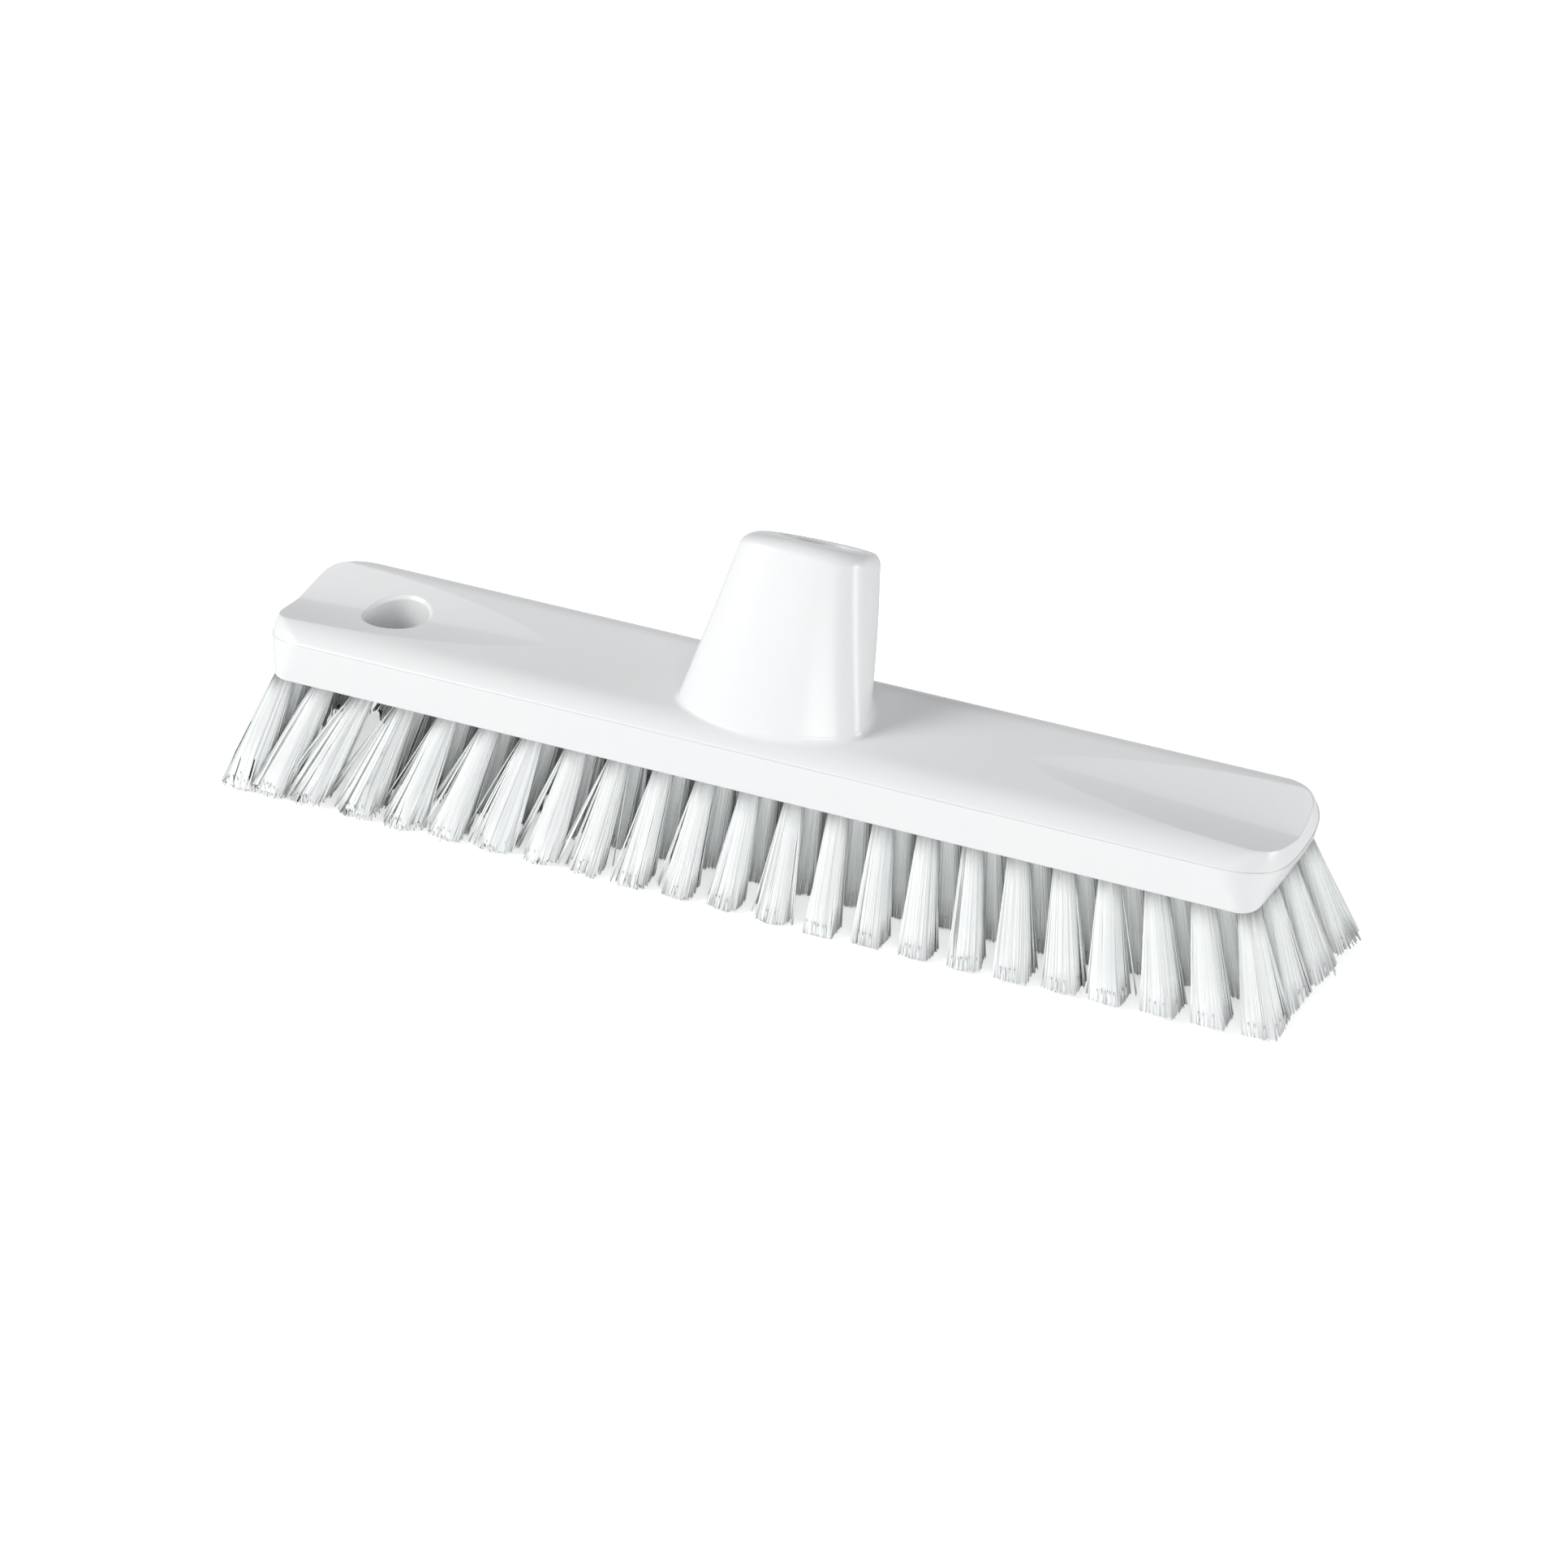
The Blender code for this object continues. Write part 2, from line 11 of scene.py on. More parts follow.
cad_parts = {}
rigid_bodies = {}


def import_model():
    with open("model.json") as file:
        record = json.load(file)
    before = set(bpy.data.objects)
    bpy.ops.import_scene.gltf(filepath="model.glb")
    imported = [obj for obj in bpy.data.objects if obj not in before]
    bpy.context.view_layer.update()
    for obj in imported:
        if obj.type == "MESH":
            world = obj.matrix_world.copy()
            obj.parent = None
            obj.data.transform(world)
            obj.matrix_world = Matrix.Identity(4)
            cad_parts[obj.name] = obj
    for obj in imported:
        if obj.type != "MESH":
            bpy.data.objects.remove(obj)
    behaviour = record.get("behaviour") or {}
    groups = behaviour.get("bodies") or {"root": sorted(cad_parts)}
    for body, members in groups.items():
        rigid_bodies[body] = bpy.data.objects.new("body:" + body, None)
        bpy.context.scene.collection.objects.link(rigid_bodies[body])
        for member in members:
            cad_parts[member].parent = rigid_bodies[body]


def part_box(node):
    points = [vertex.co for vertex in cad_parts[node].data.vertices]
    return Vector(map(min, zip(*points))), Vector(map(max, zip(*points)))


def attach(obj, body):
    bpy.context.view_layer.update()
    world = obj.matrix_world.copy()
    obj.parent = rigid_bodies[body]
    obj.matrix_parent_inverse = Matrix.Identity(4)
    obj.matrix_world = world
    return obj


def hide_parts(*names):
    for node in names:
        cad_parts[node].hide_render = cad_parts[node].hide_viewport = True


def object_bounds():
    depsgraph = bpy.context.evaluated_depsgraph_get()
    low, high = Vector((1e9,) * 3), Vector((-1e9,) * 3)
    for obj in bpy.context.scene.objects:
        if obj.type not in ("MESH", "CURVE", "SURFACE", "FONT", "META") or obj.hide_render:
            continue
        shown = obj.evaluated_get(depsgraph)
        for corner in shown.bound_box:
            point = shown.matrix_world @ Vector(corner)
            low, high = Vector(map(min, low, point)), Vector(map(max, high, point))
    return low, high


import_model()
CAD_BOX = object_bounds()

# Block, in metres, measured at the mould line
BLOCK_LENGTH = 0.300
BLOCK_WIDTH = 0.0505
BLOCK_CORNER = 0.0150
END_BOW = 0.0016
END_DIP = 0.0048
MOULD_LINE_HEIGHT = 0.0131
MOULD_LINE_STEP = 0.0002
SIDE_DRAFT = 0.0012
END_DRAFT = 0.0036
UNDERSIDE_CORNER = 0.0055
UNDERSIDE_BOW = 0.0006
BOTTOM_EDGE_RADIUS = 0.0008
CROWN_WIDTH = 0.0105
END_CROWN_WIDTH = 0.0035
CROWN_HEIGHT = 0.0033
CROWN_POWER = 2.5
TOP_CORNER = 0.0018
SCOOP_LENGTH = 0.078
SCOOP_DEPTH = 0.0042
SCOOP_DEPTH_POWER = 1.1
SCOOP_RADIUS = 0.0140
SCOOP_FLOOR_WIDTH = 0.0172
SCOOP_FLOOR_POWER = 2.5
SCOOP_HOLLOW_POWER = 1.3
SCOOP_TIP_WIDTH = 0.0012
HANG_HOLE_RADIUS = 0.0090
HANG_HOLE_COLUMN = 2
HANG_HOLE_OFFSET = 0.00186
HANG_HOLE_DRAFT = 0.0006
HANG_HOLE_EDGE = 0.0008

# Handle socket and its bore
SOCKET_LEAN = math.radians(28.0)
SOCKET_FOOT_LENGTH = 0.0530
SOCKET_FOOT_FRONT = 0.0193
SOCKET_FOOT_BACK = 0.0208
SOCKET_FOOT_WIDEST = -0.0080
SOCKET_FILLET = 0.0020
SOCKET_HEIGHT = 0.0370
SOCKET_REACH = 0.0230
SOCKET_SHOULDER_LENGTH = 0.0364
SOCKET_SHOULDER_FRONT = 0.0202
SOCKET_SHOULDER_BACK = 0.0142
SOCKET_SHOULDER_WIDEST = -0.0080
SOCKET_SHOULDER_HEIGHT = 0.0044
SOCKET_SHOULDER_SQUARENESS = 2.8
SOCKET_MOUTH_RADIUS = 0.0146
BORE_RADIUS = 0.0110
BORE_DEPTH = 0.0370
BORE_DRAFT = 0.0010
BORE_CHAMFER = 0.0006

# Tufts
TRIM_LENGTH = 0.0355
TUFT_COLUMNS = 23
TUFT_ROWS = 4
TUFT_RADIUS = 0.00265
TUFT_EDGE_WALL = 0.0018
ROW_EDGE_WALL = 0.0030
TUFT_HOLE_DEPTH = 0.0070
TUFT_WALL = 0.0012
SEAT_CLEARANCE = 0.0003

# Filaments: a tuft is a fluted core, single filaments on its outside and cut ends that fill its tip
OUTER_FILAMENTS = 46
END_FILAMENTS = 60
END_LENGTH = 0.0040
END_TAPER = 0.03
END_FILL = 0.93
FILAMENT_RADIUS = 0.00016
FILAMENT_SIDES = 4
FILAMENT_LEVELS = 4
FILAMENT_START = 0.0030
FILAMENT_THICKNESS = (0.9, 1.08)
FILAMENT_SEED = 11
OUTER_REACH = (0.93, 1.03)
TUFT_SHEEN = 0.46
CORE_FLUTES = 46
CORE_LEVELS = 5
CORE_RISE = 0.00008
CORE_CAP_SHARE = (0.88, 0.88, 0.4)
CORE_CAP_RISE = 0.0004
FLUTE_DEPTH = 0.09
FLUTE_VARIATION = 0.04
LOCKS = 13
BOX_MARGIN = 1.5

# Stray locks that stand off a tuft. STRAY_LEFT and STRAY_RIGHT are ranges of direction in radians;
# the other pairs hold a calm tuft's value and what the wildest tuft adds.
STRAY_LOCKS = (0.9, 2.3)
STRAY_LEAST = 2
STRAY_MOST = (4, 10)
STRAY_LEFT_CHANCE = (0.6, 0.4)
STRAY_LEFT = (2.6, 3.9)
STRAY_RIGHT = (-0.9, 0.9)
STRAY_REACH_LEAST = 0.0006
STRAY_REACH = (0.0024, 0.0050)
STRAY_LIFT = (0.0006, 0.0030)
STRAY_SPACING = 0.00026
STRAY_ROOT_SPACING = 0.25
STRAY_ROOT_INSET = 0.0004
STRAY_WILDNESS = 1.5
STRAY_MARGIN = 0.0006

# How the tufts lean and flare: wild at the left end, calm and square towards the right end
FLARE = 0.0037
WILD_FLARE = 0.0018
RIGHT_FLARE = 0.0011
RIGHT_FLARE_COLUMNS = 6
FLARE_ROOM = 1.25
END_STRETCH = 1.45
WILD_SHARE = 0.62
CALM_CORNERS = 14.0
WILD_CORNERS = 4.0
COLUMN_LEAN = 0.00122
WHOLE_LEAN = -0.0048
SIDE_LEAN = 0.0066
RIGHT_TRIM_RISE = 0.0026
RISE_COLUMN = 2
RISE_POWER = 1.2

# Random spreads in metres, or radians for turn and core_facing: a calm tuft's, and what the wildest adds
SPREADS = {"flare": (0.00015, 0.0), "lean": (0.0003, 0.0006), "side_lean": (0.0003, 0.0),
           "turn": (0.08, 0.3), "lock_shift": (0.00010, 0.00055), "lock_rise": (0.00012, 0.00190),
           "lock_bow": (0.00008, 0.00026), "core_cut": (0.00018, 0.00080),
           "core_facing": (0.26, 0.0), "outer_tip": (0.00005, 0.00020),
           "outer_cut": (0.00008, 0.00060), "outer_bow": (0.00004, 0.00008),
           "end_tip": (0.00010, 0.0), "end_cut": (0.00015, 0.00080),
           "stray_tip": (0.00012, 0.0), "stray_cut": (0.0006, 0.0), "stray_bow": (0.0, 0.0003)}

# Colours and roughness, each from one end of its range to the other
BLOCK_COLOURS = ((0.812, 0.822, 0.826), (0.830, 0.838, 0.838))
BLOCK_COLOUR_STOPS = (0.3, 0.7)
BLOCK_ROUGHNESS = (0.20, 0.265)
BLOCK_EDGE_SOFTENING = 0.0005
FILAMENT_COLOURS = ((0.90, 0.93, 0.925), (0.985, 1.0, 0.995))
FILAMENT_ROUGHNESS = (0.28, 0.46)
FLOOR_COLOUR = (0.90, 0.90, 0.90)
WORLD_COLOUR = (0.97, 0.985, 1.0)

# Lights: name, place, size and power; the world's level as a light; the floor's lift where seen
LIGHTS = (("left", (-1.30, -0.75, 1.15), 0.80, 21.2),
          ("front", (0.72, -1.60, 0.40), 1.00, 14.0),
          ("right", (1.50, 0.70, 0.32), 0.90, 10.5))
LIT_POINT = (0.0, 0.0, 0.03)
WORLD_LIGHT = 0.36
FLOOR_LIFT = 0.55
FLOOR_SIZE = 4.0
LIGHT_BOUNCES = 16

# Camera, fitted to the photo: its height is above the underside and its lens in pixels of the image
CAMERA_TURN = math.radians(25.455)
CAMERA_HEIGHT = math.radians(30.788)
CAMERA_PLACE = (0.6585, -1.3832, 0.9030)
CAMERA_LENS_PIXELS = 8114.0
IMAGE_PIXELS = 1932.0
SENSOR_WIDTH = 36.0

UNDERSIDE = TRIM_LENGTH
MOULD_LINE = UNDERSIDE + MOULD_LINE_HEIGHT
TOP = MOULD_LINE + CROWN_HEIGHT
HALF_LENGTH = BLOCK_LENGTH / 2
HALF_WIDTH = BLOCK_WIDTH / 2
UNDERSIDE_HALF_LENGTH = HALF_LENGTH - END_DRAFT
UNDERSIDE_HALF_WIDTH = HALF_WIDTH - SIDE_DRAFT
LAST_COLUMN = UNDERSIDE_HALF_LENGTH - TUFT_EDGE_WALL - TUFT_RADIUS
LAST_ROW = UNDERSIDE_HALF_WIDTH - ROW_EDGE_WALL - TUFT_RADIUS
TUFT_PITCH = 2 * LAST_COLUMN / (TUFT_COLUMNS - 1)
HANG_HOLE_X = HANG_HOLE_COLUMN * TUFT_PITCH - LAST_COLUMN - HANG_HOLE_OFFSET
OVERCUT = 0.004
BLOCK_LOW, BLOCK_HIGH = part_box("brush_block")
SHIFT = Vector(((BLOCK_LOW[0] + BLOCK_HIGH[0]) / 2, BLOCK_LOW[1] + HALF_WIDTH, 0.0))

MIDDLE_COLUMN = (TUFT_COLUMNS - 1) / 2

# Fineness of the meshes
CORNER_STEPS = 14
END_STEPS = 14
SIDE_STEPS = 24
SIDE_SHARES = (0.25, 0.5, 0.75, 0.93)
BOTTOM_EDGE_STEPS = 6
CROWN_LEVELS = 18
CROWN_SPACING = 1.3
SOCKET_POINTS = 144
SOCKET_LEVELS = 12
FILLET_STEPS = 10
SHOULDER_STEPS = 16
ROUND_POINTS = 72
EDGE_STEPS = 5
SCOOP_STATIONS = 56
SCOOP_SPAN = 1.16
SCOOP_LEAD = 0.06
SCOOP_SPACING = 1.5
SCOOP_SIDE_POINTS = 33
SCOOP_OVERREACH = 1.3
TUFT_HOLE_POINTS = 24
TUFT_HOLE_LEAD = 0.00035
SHARP_ANGLE = math.radians(38.0)
NORMAL_WEIGHT = 60
RIGHT_ANGLE = math.radians(90.0)
GOLDEN_ANGLE = math.pi * (3 - math.sqrt(5))
BEZIER_ARC = 0.5523
ELLIPSE = 2.0


def add_object(name, mesh, material=None):
    """Put a mesh in the scene as a named object."""
    item = bpy.data.objects.new(name, mesh)
    bpy.context.scene.collection.objects.link(item)
    if material is not None:
        mesh.materials.append(material)
    return item


def lofted_mesh(name, stacks):
    """A mesh of one or more closed bodies, each skinned over its own stack of equal rings."""
    bm = bmesh.new()
    for rings in stacks:
        loops = [[bm.verts.new(point) for point in ring] for ring in rings]
        for lower, upper in zip(loops, loops[1:]):
            count = len(lower)
            for i in range(count):
                j = (i + 1) % count
                bm.faces.new((lower[i], lower[j], upper[j], upper[i]))
        bm.faces.new(list(reversed(loops[0])))
        bm.faces.new(loops[-1])
    bmesh.ops.recalc_face_normals(bm, faces=bm.faces)
    mesh = bpy.data.meshes.new(name)
    bm.to_mesh(mesh)
    bm.free()
    return mesh


# Block


def plan_outline(half_length, half_width, corner, bow):
    """Outline of a bar with round corners and bowed ends, counter-clockwise from the right end."""
    def end_x(y):
        return half_length - bow * (y / half_width) ** 2

    turn = half_width - corner
    quarter = [(end_x(turn * i / END_STEPS), turn * i / END_STEPS) for i in range(END_STEPS)]
    start = Vector((end_x(turn), turn))
    stop = Vector((start.x - corner, half_width))
    along_end = Vector((-2 * bow * turn / half_width ** 2, 1.0)).normalized()
    reach = BEZIER_ARC * corner
    knots = (start, start + along_end * reach, stop + Vector((reach, 0.0)), stop)
    quarter += [(point.x, point.y) for point in interpolate_bezier(*knots, CORNER_STEPS + 1)]
    quarter += [(stop.x * (1 - i / SIDE_STEPS), half_width) for i in range(1, SIDE_STEPS + 1)]
    back_left = [(-x, y) for x, y in reversed(quarter)]
    front_left = [(-x, -y) for x, y in quarter]
    front_right = [(x, -y) for x, y in reversed(quarter)]
    return quarter[:-1] + back_left[:-1] + front_left[:-1] + front_right[:-1]


def underside_ring(inset, height):
    """Outline of the block near its underside."""
    outline = plan_outline(UNDERSIDE_HALF_LENGTH - inset, UNDERSIDE_HALF_WIDTH - inset,
                           UNDERSIDE_CORNER - inset, UNDERSIDE_BOW)
    return [(x, y, UNDERSIDE + height) for x, y in outline]


def upper_ring(side_inset, end_inset, share):
    """Outline inset from the mould line, raised by a share of the way up to the flat top."""
    half_width = HALF_WIDTH - side_inset
    corner = BLOCK_CORNER + (TOP_CORNER - BLOCK_CORNER) * side_inset / CROWN_WIDTH
    ring = []
    for x, y in plan_outline(HALF_LENGTH - end_inset, half_width, corner, END_BOW):
        line = MOULD_LINE - END_DIP * (1 - (y / half_width) ** 2)
        ring.append((x, y, line + (TOP - line) * share))
    return ring


def blend_rings(low, high, share):
    """A ring at a share of the way from one ring to another."""
    return [tuple(a + (b - a) * share for a, b in zip(p, q)) for p, q in zip(low, high)]


def block_rings():
    """The block from its underside up to its flat top."""
    edge = BOTTOM_EDGE_RADIUS
    rings = []
    for i in range(BOTTOM_EDGE_STEPS + 1):
        angle = RIGHT_ANGLE * i / BOTTOM_EDGE_STEPS
        rings.append(underside_ring(edge * (1 - math.sin(angle)), edge * (1 - math.cos(angle))))
    foot = rings[-1]
    rim = upper_ring(0.0, 0.0, 0.0)
    rings += [blend_rings(foot, rim, share) for share in SIDE_SHARES]
    rings.append(rim)
    rings.append(upper_ring(MOULD_LINE_STEP, MOULD_LINE_STEP, 0.0))
    least = 2 * MOULD_LINE_STEP
    for i in range(CROWN_LEVELS):
        step = (i / (CROWN_LEVELS - 1)) ** CROWN_SPACING
        side_inset = least + (CROWN_WIDTH - least) * step
        end_inset = least + (END_CROWN_WIDTH - least) * step
        share = 1 - (1 - side_inset / CROWN_WIDTH) ** CROWN_POWER
        rings.append(upper_ring(side_inset, end_inset, share))
    return rings


def crown_height(y):
    """Height of the block's top at a distance from its centre line, away from the ends."""
    outside = max(0.0, abs(y) - (HALF_WIDTH - CROWN_WIDTH))
    return MOULD_LINE + CROWN_HEIGHT * (1 - (outside / CROWN_WIDTH) ** CROWN_POWER)


# Handle socket


def power(value, exponent):
    """A value raised to a power, with its sign kept."""
    return math.copysign(abs(value) ** exponent, value)


def socket_section(half_x, front, back, squareness):
    """Rounded section, counter-clockwise: its depth differs from front to back, and its sides
    flatten as its squareness rises above that of an ellipse."""
    outline = []
    for i in range(SOCKET_POINTS):
        angle = 2 * math.pi * i / SOCKET_POINTS
        depth = back if math.sin(angle) > 0 else front
        outline.append((half_x * power(math.cos(angle), 2 / squareness),
                        depth * power(math.sin(angle), 2 / squareness)))
    return outline


def blend(low, high, share):
    """Sizes at a share of the way from one set to another."""
    return [a + (b - a) * share for a, b in zip(low, high)]


def foot_sizes():
    """Half length, front depth, back depth and squareness of the socket's foot."""
    return (SOCKET_FOOT_LENGTH / 2, SOCKET_FOOT_FRONT + SOCKET_FOOT_WIDEST,
            SOCKET_FOOT_BACK - SOCKET_FOOT_WIDEST, ELLIPSE)


def shoulder_sizes():
    """The same four sizes where the socket's wall turns into its shoulder."""
    return (SOCKET_SHOULDER_LENGTH / 2, SOCKET_SHOULDER_FRONT + SOCKET_SHOULDER_WIDEST,
            SOCKET_SHOULDER_BACK - SOCKET_SHOULDER_WIDEST, SOCKET_SHOULDER_SQUARENESS)


def mouth_centre():
    """Centre of the socket's mouth."""
    return Vector((0.0, SOCKET_REACH, TOP + SOCKET_HEIGHT))


def mouth_normal():
    """Direction that the socket's mouth faces."""
    return Vector((0.0, math.sin(SOCKET_LEAN), math.cos(SOCKET_LEAN)))


def mouth_slope():
    """Direction across the mouth, down its slope and towards the back."""
    return Vector((0.0, math.cos(SOCKET_LEAN), -math.sin(SOCKET_LEAN)))


def foot_ring(grow, rise):
    """Section where the socket meets the block, grown outwards and raised above the crown."""
    half_x, front, back, squareness = foot_sizes()
    ring = []
    for x, y in socket_section(half_x + grow, front + grow, back + grow, squareness):
        place = y + SOCKET_FOOT_WIDEST
        ring.append((x, place, crown_height(place) + rise))
    return ring


def shoulder_centre():
    """Centre of the section where the socket's wall turns into its rounded shoulder."""
    return (mouth_centre() - mouth_normal() * SOCKET_SHOULDER_HEIGHT
            + mouth_slope() * SOCKET_SHOULDER_WIDEST)


def wall_ring(share):
    """Section at a share of the way from the foot to the shoulder, tilting as it climbs."""
    tilt = SOCKET_LEAN * share
    foot = Vector((0.0, SOCKET_FOOT_WIDEST, TOP + SOCKET_FILLET))
    centre = foot.lerp(shoulder_centre(), share)
    across = Vector((0.0, math.cos(tilt), -math.sin(tilt)))
    outline = socket_section(*blend(foot_sizes(), shoulder_sizes(), share))
    return [centre + Vector((x, 0.0, 0.0)) + across * y for x, y in outline]


def shoulder_ring(angle):
    """Section round the shoulder, from its foot at no angle to the flat mouth at a right angle."""
    share = 1 - math.cos(angle)
    centre = mouth_centre() - mouth_normal() * SOCKET_SHOULDER_HEIGHT * (1 - math.sin(angle))
    centre += mouth_slope() * SOCKET_SHOULDER_WIDEST * (1 - share)
    mouth_sizes = (SOCKET_MOUTH_RADIUS, SOCKET_MOUTH_RADIUS, SOCKET_MOUTH_RADIUS, ELLIPSE)
    outline = socket_section(*blend(shoulder_sizes(), mouth_sizes, share))
    return [centre + Vector((x, 0.0, 0.0)) + mouth_slope() * y for x, y in outline]


def socket_rings():
    """The socket from inside the block, over its foot fillet, wall and shoulder, to its mouth."""
    rings = [foot_ring(SOCKET_FILLET, -2 * SOCKET_FILLET)]
    for i in range(FILLET_STEPS):
        angle = RIGHT_ANGLE * i / FILLET_STEPS
        rings.append(foot_ring(SOCKET_FILLET * (1 - math.sin(angle)),
                               SOCKET_FILLET * (1 - math.cos(angle))))
    for i in range(SOCKET_LEVELS):
        rings.append(wall_ring(i / SOCKET_LEVELS))
    for i in range(SHOULDER_STEPS + 1):
        rings.append(shoulder_ring(RIGHT_ANGLE * i / SHOULDER_STEPS))
    return rings


def round_ring(centre, axis, radius, count=ROUND_POINTS):
    """Circle about an axis."""
    side = Vector((1.0, 0.0, 0.0))
    across = axis.cross(side)
    ring = []
    for i in range(count):
        angle = 2 * math.pi * i / count
        ring.append(centre + (side * math.cos(angle) + across * math.sin(angle)) * radius)
    return ring


def bore_rings():
    """The handle bore, narrower at its blind end and rounded over at its mouth."""
    axis = mouth_normal()
    mouth = mouth_centre()
    rings = [round_ring(mouth - axis * BORE_DEPTH, axis, BORE_RADIUS - BORE_DRAFT)]
    for i in range(EDGE_STEPS + 1):
        angle = RIGHT_ANGLE * i / EDGE_STEPS
        depth = BORE_CHAMFER * (1 - math.sin(angle))
        radius = BORE_RADIUS + BORE_CHAMFER * (1 - math.cos(angle))
        rings.append(round_ring(mouth - axis * depth, axis, radius))
    rings.append(round_ring(mouth + axis * OVERCUT, axis, BORE_RADIUS + BORE_CHAMFER))
    return rings


# Scoops, hanging hole and tuft holes


def scoop_depth(distance):
    """Depth of a scoop below the flat top at a distance from its tip."""
    return SCOOP_DEPTH * power(distance / SCOOP_LENGTH, SCOOP_DEPTH_POWER)


def scoop_half_floor(distance):
    """Half the width that a flat floor would have in a scoop, at a distance from its tip."""
    left = min(1.0, max(0.0, 1 - distance / SCOOP_LENGTH))
    share = 1 - left ** SCOOP_FLOOR_POWER
    return (SCOOP_TIP_WIDTH + (SCOOP_FLOOR_WIDTH - SCOOP_TIP_WIDTH) * share) / 2


def scoop_half_width(distance):
    """Half the width of a scoop at its rim."""
    depth = max(0.0, scoop_depth(distance))
    return scoop_half_floor(distance) + math.sqrt(depth * (2 * SCOOP_RADIUS - depth))


def scoop_rise(distance, y):
    """How far a scoop's hollow has risen above its middle line at a distance to the side."""
    depth = max(0.0, scoop_depth(distance))
    return depth * (abs(y) / scoop_half_width(distance)) ** SCOOP_HOLLOW_POWER


def scoop_rings(side):
    """One scoop: a hollow channel that widens and deepens from its tip out through the end."""
    rings = []
    for k in range(SCOOP_STATIONS + 1):
        distance = (SCOOP_SPAN * (k / SCOOP_STATIONS) ** SCOOP_SPACING - SCOOP_LEAD) * SCOOP_LENGTH
        x = side * (HALF_LENGTH - SCOOP_LENGTH + distance)
        floor = TOP - scoop_depth(distance)
        width = scoop_half_width(distance)
        right = []
        for i in range(1, SCOOP_SIDE_POINTS + 1):
            y = SCOOP_OVERREACH * width * i / SCOOP_SIDE_POINTS
            right.append((x, y, floor + scoop_rise(distance, y)))
        right.append((x, right[-1][1], TOP + 2 * OVERCUT))
        rings.append([(x, -y, z) for x, y, z in reversed(right)] + [(x, 0.0, floor)] + right)
    return rings


def hang_hole_distance():
    """Distance of the hanging hole from its scoop's tip."""
    return SCOOP_LENGTH - HALF_LENGTH - HANG_HOLE_X


def hang_hole_tilt():
    """How much the scoop's floor climbs towards the block's middle across the hanging hole."""
    near = hang_hole_distance() - HANG_HOLE_RADIUS
    far = hang_hole_distance() + HANG_HOLE_RADIUS
    return (scoop_depth(far) - scoop_depth(near)) / (far - near)


def hang_hole_rings():
    """The hanging hole, with its upper and lower edges rounded."""
    edge = HANG_HOLE_EDGE
    low = HANG_HOLE_RADIUS - HANG_HOLE_DRAFT
    distance = hang_hole_distance()
    floor = TOP - scoop_depth(distance)
    tilt = hang_hole_tilt()
    angles = [RIGHT_ANGLE * i / EDGE_STEPS for i in range(EDGE_STEPS + 1)]
    lower = [(UNDERSIDE - OVERCUT, low + edge)]
    lower += [(UNDERSIDE + edge * math.sin(a), low + edge * (1 - math.sin(a))) for a in angles]
    high = HANG_HOLE_RADIUS
    upper = [(floor - edge * math.cos(a), high + edge * (1 - math.cos(a))) for a in angles]
    upper.append((TOP + OVERCUT, high + edge))
    axis = Vector((0.0, 0.0, 1.0))
    rings = [round_ring(Vector((HANG_HOLE_X, 0.0, z)), axis, radius) for z, radius in lower]
    for z, radius in upper:
        ring = round_ring(Vector((HANG_HOLE_X, 0.0, z)), axis, radius)
        climbs = [tilt * (point.x - HANG_HOLE_X) + scoop_rise(distance, point.y) for point in ring]
        rings.append([point + axis * climb for point, climb in zip(ring, climbs)])
    return rings


def column_x(column):
    """Place of a column of tufts along the block."""
    return LAST_COLUMN * (2 * column / (TUFT_COLUMNS - 1) - 1)


def row_y(row):
    """Place of a row of tufts across the block, the front row first."""
    return LAST_ROW * (2 * row / (TUFT_ROWS - 1) - 1)


def is_clear_of_hang_hole(x, y):
    """Whether a tuft keeps its place: it gives way where its hole would leave too thin a wall round
    the hanging hole, or where it is an inner tuft of the two columns beside the hole's centre."""
    clearance = HANG_HOLE_RADIUS + TUFT_WALL + SEAT_CLEARANCE + TUFT_RADIUS
    along = abs(x - HANG_HOLE_X)
    if along < TUFT_PITCH and abs(y) < clearance:
        return False
    return math.hypot(along, y) > clearance


def tuft_places(column, rows):
    """The tufts of a column in some of its rows, without those that the hanging hole displaces."""
    places = [(column_x(column), row_y(row)) for row in rows]
    return [place for place in places if is_clear_of_hang_hole(*place)]


def tuft_hole_rings():
    """Every tuft's own round hole, with a small lead-in."""
    axis = Vector((0.0, 0.0, 1.0))
    levels = ((-OVERCUT, TUFT_HOLE_LEAD), (0.0, TUFT_HOLE_LEAD), (TUFT_HOLE_LEAD, 0.0),
              (TUFT_HOLE_DEPTH, 0.0))
    stacks = []
    for column in range(TUFT_COLUMNS):
        for x, y in tuft_places(column, range(TUFT_ROWS)):
            stacks.append([round_ring(Vector((x, y, UNDERSIDE + z)), axis, TUFT_RADIUS + grow,
                                      TUFT_HOLE_POINTS) for z, grow in levels])
    return stacks


def apply_modifiers(item):
    """Turn an object's modifiers into plain mesh."""
    graph = bpy.context.evaluated_depsgraph_get()
    mesh = bpy.data.meshes.new_from_object(item.evaluated_get(graph), depsgraph=graph)
    old = item.data
    item.modifiers.clear()
    item.data = mesh
    bpy.data.meshes.remove(old)


